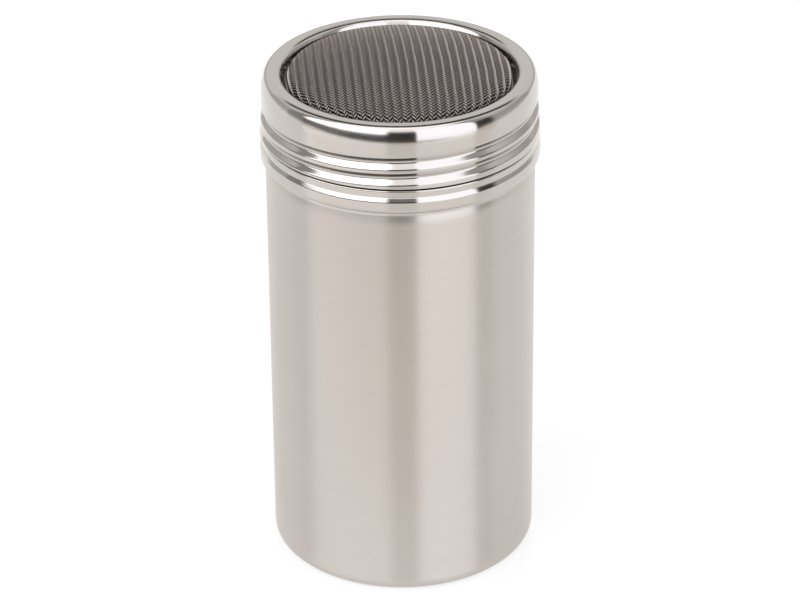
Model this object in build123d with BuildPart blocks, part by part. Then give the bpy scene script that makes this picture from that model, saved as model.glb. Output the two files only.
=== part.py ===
from build123d import *
from math import cos, radians, sin, sqrt, tan, tau
import os

os.makedirs("parts", exist_ok=True)

# ---------------------------------------------------------------------------
# Driving dimensions, in millimetres. The foot stands on Z = 0 and Z is the axis.
# ---------------------------------------------------------------------------

# Container: one deep-drawn steel can with a rolled bead, a collar and a rolled neck.
can_radius = 33.3
can_sheet = 0.5
can_heel_round = 3.1
foot_ring_width = 3.0
base_recess = 1.6
base_step_width = 2.2
wall_height = 107.3
bead_proud = 1.25
bead_height = 4.1
bead_underside_height = 0.9
collar_inset = 0.55
collar_height = 1.75
ledge_height = 0.5
neck_inset = 1.1
neck_length = 11.1

# Rolled screw thread of the lid and the neck: right-handed, one start. The groove in
# the lid starts at its lower left and climbs almost two turns to the back.
thread_pitch = 4.0
thread_depth = 1.15
thread_clearance = 0.25
thread_tip_width = 1.3
lower_flank_angle = 37.0
upper_flank_angle = 26.0
thread_start_angle = 160.0
thread_top_drop = 2.1
thread_runout_turns = 0.14
lid_thread_turns = 1.86
neck_thread_delay_turns = 0.4
neck_thread_turns = 1.6

# Lid: a pressed shell with a wide hole, a turned-down lip and a slightly flared skirt.
lid_sheet = 0.4
lid_edge_clearance = 0.65
lid_flare = 0.5
lid_band_height = 3.0
lid_shoulder_height = 4.4
lid_shoulder_inset = 1.2
lid_top_width = 3.3
lip_depth = 3.2

# Screen: woven wire cloth, pressed into a dome with a flat brim. A coarse grid of
# openings stands for the far finer cloth and lies along its wires.
cloth_thickness = 0.6
wire_angle = 49.1
grid_pitch = 4.4
grid_bar_width = 1.7
dome_radius = 94.0
dome_rise_above_ring = 3.8
dome_skirt_gap = 1.8
dome_corner_width = 1.9
dome_corner_height = 1.6

# Retaining ring: an angle-section ring that holds the brim up against the lip.
ring_sheet = 0.5
ring_inner_gap = 0.7
ring_flange_height = 2.9
ring_clearance = 0.3
seat_clearance = 0.2

# ---------------------------------------------------------------------------
# Sizes that follow from the driving dimensions.
# ---------------------------------------------------------------------------

# The neck's plain tube is the root of its thread. The lid's wall clears the crests
# of that thread, and the crests of the lid's thread clear the neck's tube.
neck_radius = can_radius - neck_inset
lid_inner_radius = neck_radius + thread_depth + thread_clearance
lid_radius = lid_inner_radius + lid_sheet
lid_edge_radius = lid_radius + lid_flare

# The hole, the screen in it and the ring under the brim follow the lid inwards.
lip_radius = lid_radius - lid_shoulder_inset - lid_top_width
dome_skirt_radius = lip_radius - dome_skirt_gap
ring_inner_radius = dome_skirt_radius + ring_inner_gap

# Heights, from the foot upwards.
bead_top = wall_height + bead_height
collar_foot = bead_top + collar_inset
collar_top = collar_foot + collar_height
ledge_top = collar_top + ledge_height
neck_rim = ledge_top + neck_length
ring_floor = neck_rim + seat_clearance
brim_floor = ring_floor + ring_sheet + seat_clearance
lip_edge = brim_floor + cloth_thickness
ring_top = lip_edge + lip_depth
lid_edge = collar_top + lid_edge_clearance
shoulder_foot = ring_top - lid_shoulder_height

# The lid's shoulder is an arc that leaves its wall upright and ends at a crease.
shoulder_bend = (lid_shoulder_inset**2 + lid_shoulder_height**2) / (2 * lid_shoulder_inset)
shoulder_centre = lid_radius - shoulder_bend

# The neck's thread lies half a pitch below the lid's, so the two are in mesh.
lid_thread_foot = neck_rim - thread_top_drop - thread_pitch * lid_thread_turns
neck_thread_foot = lid_thread_foot - thread_pitch / 2

# ---------------------------------------------------------------------------
# Thread forms. A form is a flat tip with two sloping flanks that widen away from it,
# and "past" carries the flanks on beyond the wall, so that they cut or join it cleanly.
# ---------------------------------------------------------------------------

past = 0.25
half_tip = thread_tip_width / 2
lower_run = tan(radians(lower_flank_angle))
upper_run = tan(radians(upper_flank_angle))

# A sheet of thickness t is t * lower_thick tall, measured upright through its flank,
# and the tip of its far face is t * lower_grow wider than the tip of its near face.
lower_thick = 1 / cos(radians(lower_flank_angle))
upper_thick = 1 / cos(radians(upper_flank_angle))
lower_grow = lower_thick - lower_run
upper_grow = upper_thick - upper_run

# The neck's crest fills the space between two turns of the lid's thread, less the
# clearance. Its upper flank faces the lid's lower flank, and the other way round.
crest_overlap = thread_depth - thread_clearance - lid_sheet
clear_sheet = lid_sheet + thread_clearance
crest_above = thread_pitch / 2 - half_tip - crest_overlap * lower_run - clear_sheet * lower_thick
crest_below = thread_pitch / 2 - half_tip - crest_overlap * upper_run - clear_sheet * upper_thick

STEPS_PER_TURN = 12
SHARP = 0
UPWARDS = (Align.CENTER, Align.CENTER, Align.MIN)


def thread_path(radius, foot_height, first_turn, turns, fade):
    """Points of a thread's helix. Its two ends drift by fade, so that the form runs out."""
    steps = round(turns * STEPS_PER_TURN)
    points = []
    for step in range(steps + 1):
        turn = turns * step / steps
        share = min(min(turn, turns - turn) / thread_runout_turns, 1.0)
        reach = radius + fade * (1.0 - share * share * (3.0 - 2.0 * share))
        angle = radians(thread_start_angle) + tau * (first_turn + turn)
        height = foot_height + thread_pitch * (first_turn + turn)
        points.append((reach * cos(angle), reach * sin(angle), height))
    return points


def section_plane(path):
    """The upright plane at a path's first point, with X outwards and Y up."""
    start = path @ 0
    outwards = Vector(start.X, start.Y, 0).normalized()
    return Plane(origin=start, x_dir=outwards, z_dir=outwards.cross(Vector(0, 0, 1)))


def draw_form(tip, mouth, below, above, below_run, above_run):
    """Draw a thread form in the current line: X outwards from the helix, Y up."""
    height = abs(mouth - tip)
    Polyline(
        (mouth, -below - height * below_run),
        (tip, -below),
        (tip, above),
        (mouth, above + height * above_run),
        close=True,
    )


# ---------------------------------------------------------------------------
# Container
# ---------------------------------------------------------------------------

foot_inner_radius = can_radius - can_heel_round - foot_ring_width
panel_radius = foot_inner_radius - base_step_width
bead_radius = can_radius + bead_proud
bead_foot = wall_height + bead_underside_height
collar_radius = bead_radius - collar_inset
neck_thread_fade = -thread_depth - past

# Outside of the neck: the crest of its thread.
with BuildPart() as neck_crest:
    with BuildLine() as crest_path:
        Spline(
            *thread_path(
                neck_radius,
                neck_thread_foot,
                neck_thread_delay_turns,
                neck_thread_turns,
                neck_thread_fade,
            )
        )
    with BuildSketch(section_plane(crest_path.line)):
        with BuildLine():
            draw_form(thread_depth, -past, crest_below, crest_above, upper_run, lower_run)
        make_face()
    sweep(path=crest_path.line, is_frenet=True)
    with Locations((0, 0, ledge_top)):
        Cylinder(neck_radius - past, neck_length, align=UPWARDS, mode=Mode.SUBTRACT)

# Inside of the neck: the hollow behind the crest, as deep as the sheet is thick.
with BuildPart() as neck_hollow:
    with BuildSketch(section_plane(crest_path.line)):
        with BuildLine():
            draw_form(
                0,
                -can_sheet - past,
                crest_below + thread_depth * upper_run - can_sheet * upper_thick,
                crest_above + thread_depth * lower_run - can_sheet * lower_thick,
                upper_run,
                lower_run,
            )
        make_face()
    sweep(path=crest_path.line, is_frenet=True)

with BuildPart() as container:
    with BuildSketch(Plane.XZ):
        with BuildLine():
            FilletPolyline(
                (0, base_recess),
                (panel_radius, base_recess),
                (foot_inner_radius, 0),
                (can_radius, 0),
                (can_radius, wall_height),
                (bead_radius, bead_foot),
                (bead_radius, bead_top),
                (collar_radius, collar_foot),
                (collar_radius, collar_top),
                (neck_radius, ledge_top),
                (neck_radius, neck_rim),
                radius=[SHARP, SHARP, can_heel_round] + [SHARP] * 6,
            )
            offset(amount=can_sheet, side=Side.LEFT, kind=Kind.INTERSECTION)
        make_face()
    revolve(axis=Axis.Z)
    add(neck_crest.part)
    add(neck_hollow.part, mode=Mode.SUBTRACT)
container.part.label = "container"

# ---------------------------------------------------------------------------
# Lid shell
# ---------------------------------------------------------------------------

edge_past = lid_flare + past


def draw_crown(inset):
    """Draw the lid's lip, top and shoulder in the current line, inset from its face."""
    bend = shoulder_bend - inset
    rise = lid_shoulder_height - inset
    crown_top = Polyline(
        (lip_radius + inset, lip_edge),
        (lip_radius + inset, ring_top - inset),
        (shoulder_centre + sqrt(bend**2 - rise**2), ring_top - inset),
    )
    RadiusArc(crown_top @ 1, (lid_radius - inset, shoulder_foot), bend)


# The groove that is rolled into the outside of the lid.
with BuildPart() as lid_groove:
    with BuildLine() as groove_path:
        Spline(
            *thread_path(lid_radius, lid_thread_foot, 0, lid_thread_turns, thread_depth + edge_past)
        )
    with BuildSketch(section_plane(groove_path.line)):
        with BuildLine():
            draw_form(-thread_depth, edge_past, half_tip, half_tip, lower_run, upper_run)
        make_face()
    sweep(path=groove_path.line, is_frenet=True)

# The hollow of the lid, less the ridge that the groove raises on its inside.
with BuildPart() as lid_hollow:
    with BuildSketch(Plane.XZ):
        with BuildLine():
            draw_crown(lid_sheet)
            Polyline(
                (lid_inner_radius, shoulder_foot),
                (lid_inner_radius, lid_edge - past),
                (lip_radius - past, lid_edge - past),
                (lip_radius - past, lip_edge),
                (lip_radius + lid_sheet, lip_edge),
            )
        make_face()
    revolve(axis=Axis.Z)
    with BuildLine() as ridge_path:
        Spline(*thread_path(lid_radius, lid_thread_foot, 0, lid_thread_turns, thread_depth + past))
    with BuildSketch(section_plane(ridge_path.line)):
        with BuildLine():
            draw_form(
                -thread_depth - lid_sheet,
                past - lid_sheet,
                half_tip + lid_sheet * lower_grow,
                half_tip + lid_sheet * upper_grow,
                lower_run,
                upper_run,
            )
        make_face()
    sweep(path=ridge_path.line, is_frenet=True, mode=Mode.SUBTRACT)

with BuildPart() as lid_shell:
    with BuildSketch(Plane.XZ):
        with BuildLine():
            draw_crown(0)
            Polyline(
                (lid_radius, shoulder_foot),
                (lid_radius, shoulder_foot - lid_band_height),
                (lid_edge_radius, lid_edge),
                (lip_radius, lid_edge),
                (lip_radius, lip_edge),
            )
        make_face()
    revolve(axis=Axis.Z)
    add(lid_groove.part, mode=Mode.SUBTRACT)
    add(lid_hollow.part, mode=Mode.SUBTRACT)
lid_shell.part.label = "lid_shell"

# ---------------------------------------------------------------------------
# Retaining ring
# ---------------------------------------------------------------------------

# The flange stands just clear of the lid's shoulder, where that is narrowest.
ring_flange_top = ring_floor + ring_flange_height
shoulder_reach = sqrt((shoulder_bend - lid_sheet) ** 2 - (ring_flange_top - shoulder_foot) ** 2)
ring_outer_radius = shoulder_centre + shoulder_reach - ring_clearance

with BuildPart() as retaining_ring:
    with BuildSketch(Plane.XZ):
        with BuildLine():
            Polyline(
                (ring_inner_radius, ring_floor),
                (ring_outer_radius, ring_floor),
                (ring_outer_radius, ring_flange_top),
            )
            offset(amount=ring_sheet, side=Side.LEFT, kind=Kind.INTERSECTION)
        make_face()
    revolve(axis=Axis.Z)
retaining_ring.part.label = "retaining_ring"

# ---------------------------------------------------------------------------
# Screen
# ---------------------------------------------------------------------------

dome_top = ring_top + dome_rise_above_ring
dome_centre = dome_top - dome_radius
brim_radius = ring_outer_radius - ring_sheet - ring_clearance

# Two bars cross on the axis. Every opening is whole and stays on the cap, a bar's width
# from the corner round it.
opening_width = grid_pitch - grid_bar_width
grid_reach = dome_skirt_radius - dome_corner_width - grid_bar_width - opening_width / sqrt(2)
grid_count = 2 * round(grid_reach / grid_pitch)
grid_places = [
    place
    for place in GridLocations(grid_pitch, grid_pitch, grid_count, grid_count)
    if place.position.length < grid_reach
]


def draw_dome(inset):
    """Draw the screen's cap, corner, skirt and brim in the current line."""
    reach = dome_radius - inset
    skirt = dome_skirt_radius - inset
    cap = skirt - dome_corner_width
    cap_height = dome_centre + sqrt(reach**2 - cap**2)
    RadiusArc((0, dome_centre + reach), (cap, cap_height), reach)
    Polyline(
        (cap, cap_height),
        (skirt, cap_height - dome_corner_height),
        (skirt, lip_edge - inset),
        (brim_radius, lip_edge - inset),
    )


with BuildPart() as screen:
    with BuildSketch(Plane.XZ):
        with BuildLine():
            draw_dome(0)
            draw_dome(cloth_thickness)
            Line((0, dome_top), (0, dome_top - cloth_thickness))
            Line((brim_radius, lip_edge), (brim_radius, brim_floor))
        make_face()
    revolve(axis=Axis.Z)
    with BuildSketch(Plane.XY.offset(lip_edge).rotated((0, 0, wire_angle))):
        with Locations(*grid_places):
            Rectangle(opening_width, opening_width)
    extrude(amount=dome_top - lip_edge, mode=Mode.SUBTRACT)
screen.part.label = "screen"

for piece in (container, lid_shell, retaining_ring, screen):
    export_step(piece.part, f"parts/{piece.part.label}.step")
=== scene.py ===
"""Stainless steel spice shaker: a brushed can, a polished screw lid and a domed top of woven wire cloth."""

import logging
import math
from dataclasses import dataclass, field
from enum import Enum
from typing import Any, Callable, Sequence

import bmesh
import bpy
from mathutils import Matrix, Vector


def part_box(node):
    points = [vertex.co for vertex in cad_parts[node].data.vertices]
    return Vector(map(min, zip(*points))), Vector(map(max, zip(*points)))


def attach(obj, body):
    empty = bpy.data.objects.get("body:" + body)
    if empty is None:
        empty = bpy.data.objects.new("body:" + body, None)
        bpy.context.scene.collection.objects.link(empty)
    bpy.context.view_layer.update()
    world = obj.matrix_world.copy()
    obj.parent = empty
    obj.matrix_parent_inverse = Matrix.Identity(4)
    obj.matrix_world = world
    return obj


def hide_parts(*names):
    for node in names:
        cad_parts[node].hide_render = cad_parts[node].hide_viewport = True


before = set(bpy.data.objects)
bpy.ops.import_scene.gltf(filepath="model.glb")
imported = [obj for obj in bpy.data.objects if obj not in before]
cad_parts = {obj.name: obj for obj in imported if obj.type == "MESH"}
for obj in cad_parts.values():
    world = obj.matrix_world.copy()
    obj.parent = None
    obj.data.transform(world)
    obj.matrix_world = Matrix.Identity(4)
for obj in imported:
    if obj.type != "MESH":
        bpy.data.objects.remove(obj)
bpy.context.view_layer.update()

log = logging.getLogger("shaker")

MM = 0.001
TAU = math.tau

# Outlines of sheet metal. A run between two rounds gets a point near each end, so that it shades flat.
ARC_STEPS = 5
EDGE_STEPS = 2 * ARC_STEPS
RUN_SUPPORT = 0.15 * MM
RUN_SUPPORT_SHARE = 0.2
SMALLEST_BEND = 0.1 * MM
MERGE_DISTANCE = 0.001 * MM
STRAIGHT_MARGIN = 1e-4
NO_LENGTH = 1e-7

# Finishes. The crown attribute says how far a wire stands out of the cloth, from -1 to 1.
CROWN = "crown"
QUARTER_TURN = 0.25
STAINS_PER_METRE = 45.0
NOISE_SPREAD = (0.3, 0.7)
MARK_DETAIL = 4.0
STAIN_DETAIL = 3.0
SWAY_DETAIL = 1.0

# Directions in the studio, in degrees.
ZENITH = 90.0
HALF_TURN = 180.0

# Kinds of node that are used often, and the sockets of a Mix node that mixes colours.
MATH = "ShaderNodeMath"
VECTOR_MATH = "ShaderNodeVectorMath"
MIX = "ShaderNodeMix"
MAP_RANGE = "ShaderNodeMapRange"
NOISE = "ShaderNodeTexNoise"
SEPARATE = "ShaderNodeSeparateXYZ"
COMBINE = "ShaderNodeCombineXYZ"
ROTATE = "ShaderNodeVectorRotate"
DELETE = "GeometryNodeDeleteGeometry"
COLOUR_A, COLOUR_B, COLOUR_RESULT = 6, 7, 2

Point = tuple[float, float]
Outline = list[Point]
Colour = tuple[float, float, float, float]
Wall = Callable[[float], float]
Tree = bpy.types.NodeTree
Socket = bpy.types.NodeSocket


# ---- Colours, nodes and objects ----


def linear(hex_colour: str) -> Colour:
    """Turns an sRGB hex colour into Blender's linear colour.

    Args:
        hex_colour: six hex digits, such as "c8c4be".

    Returns:
        Red, green, blue and alpha, linear.
    """
    channels = [int(hex_colour[i : i + 2], 16) / 255 for i in (0, 2, 4)]
    red, green, blue = (c / 12.92 if c <= 0.04045 else ((c + 0.055) / 1.055) ** 2.4 for c in channels)
    return (red, green, blue, 1.0)


def scaled(colour: Colour, share: float) -> Colour:
    """The colour, brighter or darker by a share, with its alpha kept."""
    red, green, blue, alpha = colour
    return (red * share, green * share, blue * share, alpha)


def add_node(
    tree: Tree, kind: str, inputs: dict[Any, Any] | Sequence[Any] = (), **settings: Any
) -> bpy.types.NodeOutputs:
    """Adds one node with its settings, values and links.

    Args:
        tree: the node tree that gets the node.
        kind: the node's type name.
        inputs: values, or sockets that feed it, in the order of its inputs, or by input name or number.
        settings: the node's own properties.

    Returns:
        The new node's outputs.
    """
    node = tree.nodes.new(kind)
    for name, value in settings.items():
        setattr(node, name, value)
    for key, value in inputs.items() if isinstance(inputs, dict) else enumerate(inputs):
        if isinstance(value, bpy.types.NodeSocket):
            tree.links.new(value, node.inputs[key])
        else:
            node.inputs[key].default_value = value
    return node.outputs


def emptied(owner: bpy.types.Material | bpy.types.World) -> Tree:
    """Gives a material or world an empty node tree.

    Args:
        owner: the material or world.

    Returns:
        Its node tree, with no node in it.
    """
    owner.use_nodes = True
    owner.node_tree.nodes.clear()
    return owner.node_tree


def add_object(name: str, data: bpy.types.ID) -> bpy.types.Object:
    """Adds an object at the origin of the scene.

    Args:
        name: its name.
        data: its mesh, curve or camera.

    Returns:
        The object.
    """
    made = bpy.data.objects.new(name, data)
    bpy.context.scene.collection.objects.link(made)
    return made


# ---- Finishes ----


@dataclass(frozen=True)
class Steel:
    """One finish of 18/10 stainless steel.

    Attributes:
        name: the material's name.
        colour: sRGB hex of its reflection seen straight on.
        roughness: of the surface between its marks.
        anisotropy: how far its marks stretch a reflection across themselves.
        mark_length: how far a brush or polishing mark runs round the axis.
        mark_spacing: distance from one mark to the next, along the axis.
        mark_height: depth of the marks.
        stain: how much the roughness drifts from place to place, as handling leaves it.
        streak: how much the colour goes up and down from one coarse mark to the next.
        streak_spacing: distance from one coarse mark to the next.
    """

    name: str
    colour: str
    roughness: float
    anisotropy: float = 0.0
    mark_length: float = 12 * MM
    mark_spacing: float = 0.25 * MM
    mark_height: float = 0.0
    stain: float = 0.0
    streak: float = 0.0
    streak_spacing: float = 0.7 * MM

    def material(self) -> bpy.types.Material:
        """Builds the node material of this finish.

        Returns:
            The material.
        """
        made = bpy.data.materials.new(self.name)
        tree = emptied(made)
        place = add_node(tree, "ShaderNodeTexCoord")["Object"]
        inputs: dict[str, Any] = {
            "Metallic": 1.0,
            "Base Color": self._colour(tree, place),
            "Roughness": self._roughness(tree, place),
        }
        if self.anisotropy:
            inputs["Anisotropic"] = self.anisotropy
            inputs["Anisotropic Rotation"] = QUARTER_TURN
            inputs["Tangent"] = add_node(tree, "ShaderNodeTangent", direction_type="RADIAL", axis="Z")[0]
        if self.mark_height:
            inputs["Normal"] = self._marks(tree, place)
        shader = add_node(tree, "ShaderNodeBsdfPrincipled", inputs)
        add_node(tree, "ShaderNodeOutputMaterial", {"Surface": shader[0]})
        return made

    def _colour(self, tree: Tree, place: Socket) -> Any:
        """Colour of the metal, with coarse marks that run round the axis where it has them.

        Args:
            tree: the material's node tree.
            place: position on the piece.

        Returns:
            The colour, or the socket that carries it.
        """
        plain = linear(self.colour)
        if not self.streak:
            return plain
        marks = self._stretched(tree, place, self.streak_spacing)
        dark, light = scaled(plain, 1 - self.streak), scaled(plain, 1 + self.streak)
        mixed = add_node(tree, MIX, {"Factor": marks, COLOUR_A: dark, COLOUR_B: light}, data_type="RGBA")
        return mixed[COLOUR_RESULT]

    def _stretched(self, tree: Tree, place: Socket, spacing: float) -> Socket:
        """Noise drawn out round the axis.

        Args:
            tree: the material's node tree.
            place: position on the piece.
            spacing: distance from one mark to the next, along the axis.

        Returns:
            The noise, from 0 to 1.
        """
        across, along = 1 / self.mark_length, 1 / spacing
        moved = add_node(tree, "ShaderNodeMapping", {"Vector": place, "Scale": (across, across, along)})
        return add_node(tree, NOISE, {"Vector": moved[0], "Scale": 1.0, "Detail": MARK_DETAIL})[0]

    def _roughness(self, tree: Tree, place: Socket) -> Any:
        """Roughness with a slow drift over the surface.

        Args:
            tree: the material's node tree.
            place: position on the piece.

        Returns:
            The socket that carries it, or one number where there is no drift.
        """
        if not self.stain:
            return self.roughness
        drift = add_node(tree, NOISE, {"Vector": place, "Scale": STAINS_PER_METRE, "Detail": STAIN_DETAIL})
        low, high = self.roughness - self.stain, self.roughness + self.stain
        return add_node(tree, MAP_RANGE, (drift[0], *NOISE_SPREAD, low, high))[0]

    def _marks(self, tree: Tree, place: Socket) -> Socket:
        """Brush marks that run round the axis, as a bump.

        Args:
            tree: the material's node tree.
            place: position on the piece.

        Returns:
            The bumped normal.
        """
        marks = self._stretched(tree, place, self.mark_spacing)
        bump = {"Height": marks, "Distance": self.mark_height, "Strength": 1.0}
        return add_node(tree, "ShaderNodeBump", bump)["Normal"]


@dataclass(frozen=True)
class WovenSteel(Steel):
    """Steel wire with painted shade on its sunken parts, where it dips under the other family, and its own
    colour on its crowns.

    Attributes:
        hollow: sRGB hex of the painted shade where the wire dips.
        full_shade: how far out of the cloth the painted shade is full.
        no_shade: how far out the wire has no painted shade left.
    """

    hollow: str = "1c1718"
    full_shade: float = -0.3
    no_shade: float = 0.8

    def _colour(self, tree: Tree, place: Socket) -> Any:
        """Painted shade where the wire dips under the other family, by how far it stands out of the cloth,
        from the weave's own attribute.

        Args:
            tree: the material's node tree.
            place: position on the piece.

        Returns:
            The socket that carries the colour.
        """
        # Painted shade: the wire's colour darkens where it dips under the other family.
        height = add_node(tree, "ShaderNodeAttribute", attribute_name=CROWN)["Fac"]
        reach = (height, self.full_shade, self.no_shade)
        unshaded = add_node(tree, MAP_RANGE, reach, interpolation_type="SMOOTHSTEP")[0]
        colours = {"Factor": unshaded, COLOUR_A: linear(self.hollow), COLOUR_B: linear(self.colour)}
        return add_node(tree, MIX, colours, data_type="RGBA")[COLOUR_RESULT]


# The can's wall is brushed while it spins, so its marks run round it and smear every light up and down.
BRUSHED = Steel(
    "stainless_steel_brushed",
    "c7c0b9",
    roughness=0.31,
    anisotropy=0.9,
    mark_length=18 * MM,
    mark_spacing=0.16 * MM,
    mark_height=0.0004 * MM,
    stain=0.015,
    streak=0.035,
    streak_spacing=0.5 * MM,
)
# The lid, the bead and the neck are buffed to a mirror that still has a faint haze.
POLISHED = Steel("stainless_steel_polished", "c5c0bb", roughness=0.13, anisotropy=0.9, stain=0.02)
# The inside keeps the dull, slightly wavy face of the drawn sheet; its colour is darker than the outside's,
# as painted shade inside the can and the lid.
DRAWN = Steel(
    "stainless_steel_drawn",
    "76716c",
    roughness=0.36,
    mark_length=8 * MM,
    mark_spacing=0.5 * MM,
    mark_height=0.002 * MM,
    stain=0.05,
)
# Drawn wire is bright but never flat, and its colour is painted dark where it dips, as painted shade, so that
# it glints along its crowns only.
WIRE = WovenSteel("stainless_steel_wire", "bfb4ae", roughness=0.30)


class Slot(Enum):
    """Material slots of the record."""

    BRUSHED = "brushed_steel"
    POLISHED = "polished_steel"
    CLOTH = "wire_cloth"
    RING = "ring_steel"


class Dresser:
    """Keeps one material for each finish."""

    def __init__(self) -> None:
        """Starts with no material."""
        self._made: dict[Steel, bpy.types.Material] = {}

    def material(self, finish: Steel) -> bpy.types.Material:
        """The finish's material, built the first time that it is asked for.

        Args:
            finish: the finish.

        Returns:
            Its material.
        """
        if finish not in self._made:
            self._made[finish] = finish.material()
        return self._made[finish]


DRESSER = Dresser()


# ---- Outlines of sheet metal ----


def unit(a: Point, b: Point) -> Point:
    """Direction from a to b, of length 1."""
    length = math.dist(a, b)
    return ((b[0] - a[0]) / length, (b[1] - a[1]) / length)


def shifted(point: Point, way: Point, distance: float) -> Point:
    """The point, moved a distance along a direction."""
    return (point[0] + way[0] * distance, point[1] + way[1] * distance)


def arc(centre: Point, radius: float, first: float, last: float, steps: int) -> Outline:
    """Points along an arc from its first angle to its last, both ends included, in so many steps."""
    angles = [first + (last - first) * step / steps for step in range(steps + 1)]
    return [shifted(centre, (math.cos(angle), math.sin(angle)), radius) for angle in angles]


def rounded(points: Sequence[Point], radii: Sequence[float]) -> Outline:
    """Rounds the corners of an outline, and adds points beside each round so that it shades cleanly.

    Args:
        points: corners of the outline, the two ends included.
        radii: one radius for each corner between the ends; 0 leaves it sharp.

    Returns:
        The points of the finished outline.
    """
    runs: list[Outline] = []
    for before, corner, after, radius in zip(points, points[1:], points[2:], radii):
        back, ahead = unit(corner, before), unit(corner, after)
        cosine = max(-1.0, min(1.0, back[0] * ahead[0] + back[1] * ahead[1]))
        half = math.acos(cosine) / 2
        if not radius or half > math.pi / 2 - STRAIGHT_MARGIN:
            runs.append([corner])
            continue
        middle = (back[0] + ahead[0], back[1] + ahead[1])
        centre = shifted(corner, middle, radius / math.sin(half) / math.hypot(*middle))
        first = shifted(corner, back, radius / math.tan(half))
        start = math.atan2(first[1] - centre[1], first[0] - centre[0])
        turn = math.pi - 2 * half
        sweep = -turn if back[0] * ahead[1] > back[1] * ahead[0] else turn
        runs.append(arc(centre, radius, start, start + sweep, ARC_STEPS))
    made = [points[0]]
    for run in [*runs, [points[-1]]]:
        here, there = made[-1], run[0]
        length = math.dist(here, there)
        if length > NO_LENGTH:
            way = unit(here, there)
            support = min(RUN_SUPPORT, length * RUN_SUPPORT_SHARE)
            made += [shifted(here, way, support), shifted(there, way, -support)]
        made += run
    return made


def inset(points: Sequence[Point], radii: Sequence[float], sheet: float) -> tuple[Outline, list[float]]:
    """Corners and radii of the other face of a bent sheet.

    Args:
        points: corners of the first face, the two ends included.
        radii: its corner radii.
        sheet: the sheet's thickness, to the left of the way that the points go.

    Returns:
        Corners and radii of the second face, in the same order.
    """
    moved: Outline = []
    bends: list[float] = []
    ways = [unit(a, b) for a, b in zip(points, points[1:])]
    for point, before, after in zip(points, [ways[0], *ways], [*ways, ways[-1]]):
        left = (-before[1] - after[1], before[0] + after[0])
        moved.append(shifted(point, left, 2 * sheet / (left[0] ** 2 + left[1] ** 2)))
    for radius, before, after in zip(radii, ways, ways[1:]):
        turns_left = before[0] * after[1] > before[1] * after[0]
        bends.append(max(radius - sheet if turns_left else radius + sheet, SMALLEST_BEND))
    return moved, bends


# ---- The rolled screw thread ----


@dataclass(frozen=True)
class Helix:
    """The right-hand, single-start helix that the lid and the neck share.

    Attributes:
        pitch: rise in one turn.
        depth: height of the neck's crest.
        start: angle of the lid groove's lower end, from +X.
        foot: height of the lid groove's centre there.
        turns: turns of the lid's groove.
        runout: turns over which each end fades.
        lower_flank: slope, from the horizontal, of a groove's lower flank and of a crest's upper one.
        upper_flank: slope of a groove's upper flank and of a crest's lower one.
    """

    pitch: float = 4.0 * MM
    depth: float = 1.15 * MM
    start: float = math.radians(160.0)
    foot: float = 115.76 * MM
    turns: float = 1.86
    runout: float = 0.14
    lower_flank: float = math.radians(37.0)
    upper_flank: float = math.radians(26.0)

    @property
    def lower_run(self) -> float:
        """Rise along the lower flank for each unit of depth."""
        return math.tan(self.lower_flank)

    @property
    def upper_run(self) -> float:
        """Rise along the upper flank for each unit of depth."""
        return math.tan(self.upper_flank)


@dataclass(frozen=True)
class RolledForm:
    """Section of one turn of a rolled thread, as heights from the helix and depths off the wall.

    Attributes:
        helix: the helix that it follows.
        corners: (height, depth) of its lower root, the two edges of its tip and its upper root; a depth is
            negative where the form goes inwards.
        rounds: radii at the same four corners.
        first_turn: turn of the helix where it starts.
        turns: how many turns it runs.
        rise: height of its own helix over the shared one.
        sheet: thickness of the sheet if this is the face behind the form, 0 on the form's own face.
    """

    helix: Helix
    corners: tuple[Point, Point, Point, Point]
    rounds: tuple[float, float, float, float]
    first_turn: float
    turns: float
    rise: float = 0.0
    sheet: float = 0.0

    def section(self) -> Outline:
        """Points of one pitch of the section, from crest to crest.

        Returns:
            (height, depth) pairs in rising order; the last is one pitch above the first.
        """
        middle = (self.corners[0][0] + self.corners[-1][0] + self.helix.pitch) / 2
        points: Outline = [(middle - self.helix.pitch, 0.0), *self.corners, (middle, 0.0)]
        if not self.sheet:
            return rounded(points, self.rounds)
        moved, bends = inset(points, self.rounds, -self.sheet)
        return rounded([(height, depth + self.sheet) for height, depth in moved], bends)

    def fade(self, turn: float) -> float:
        """Smooth share of the full depth near the form's ends.

        Args:
            turn: turn of the shared helix.

        Returns:
            The share, which is 0 outside the form's own turns.
        """
        edge = min(turn - self.first_turn, self.first_turn + self.turns - turn)
        share = max(0.0, min(1.0, edge / self.helix.runout))
        return share * share * (3 - 2 * share)


@dataclass
class ThreadedBand:
    """A stretch of wall with a rolled thread on it.

    Attributes:
        form: the thread's section.
        wall: radius of the plain wall at a height.
        foot: lower edge of the stretch.
        head: upper edge of the stretch.
        upwards: True if the outline passes it from its foot to its head.
    """

    form: RolledForm
    wall: Wall
    foot: float
    head: float
    upwards: bool
    section: Outline = field(init=False)

    def __post_init__(self) -> None:
        """Works out the section once."""
        self.section = self.form.section()

    def rows(self, angle: float) -> Outline:
        """Points of the band at one angle round the axis.

        Args:
            angle: angle from the thread's start, from 0 to one full turn.

        Returns:
            As many (radius, height) pairs at every angle.
        """
        pitch, share = self.form.helix.pitch, angle / TAU
        base = self.form.helix.foot + self.form.rise
        first = math.floor((self.foot - base) / pitch) - 1
        last = math.ceil((self.head - base) / pitch) + 1
        made: Outline = []
        for turn in range(first, last):
            for height, depth in self.section[:-1]:
                z = base + (share + turn) * pitch + height
                kept = min(max(z, self.foot), self.head)
                strength = self.form.fade(share + turn) if kept == z else 0.0
                made.append((self.wall(kept) + depth * strength, kept))
        return made if self.upwards else made[::-1]


@dataclass
class PlainBand:
    """A stretch of wall that is the same all round.

    Attributes:
        outline: its (radius, height) points.
    """

    outline: Outline

    def rows(self, angle: float) -> Outline:
        """Points of the band, at any angle."""
        return self.outline


Bands = list[tuple[PlainBand | ThreadedBand, Steel]]


# ---- Spun and rolled sheet ----


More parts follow.
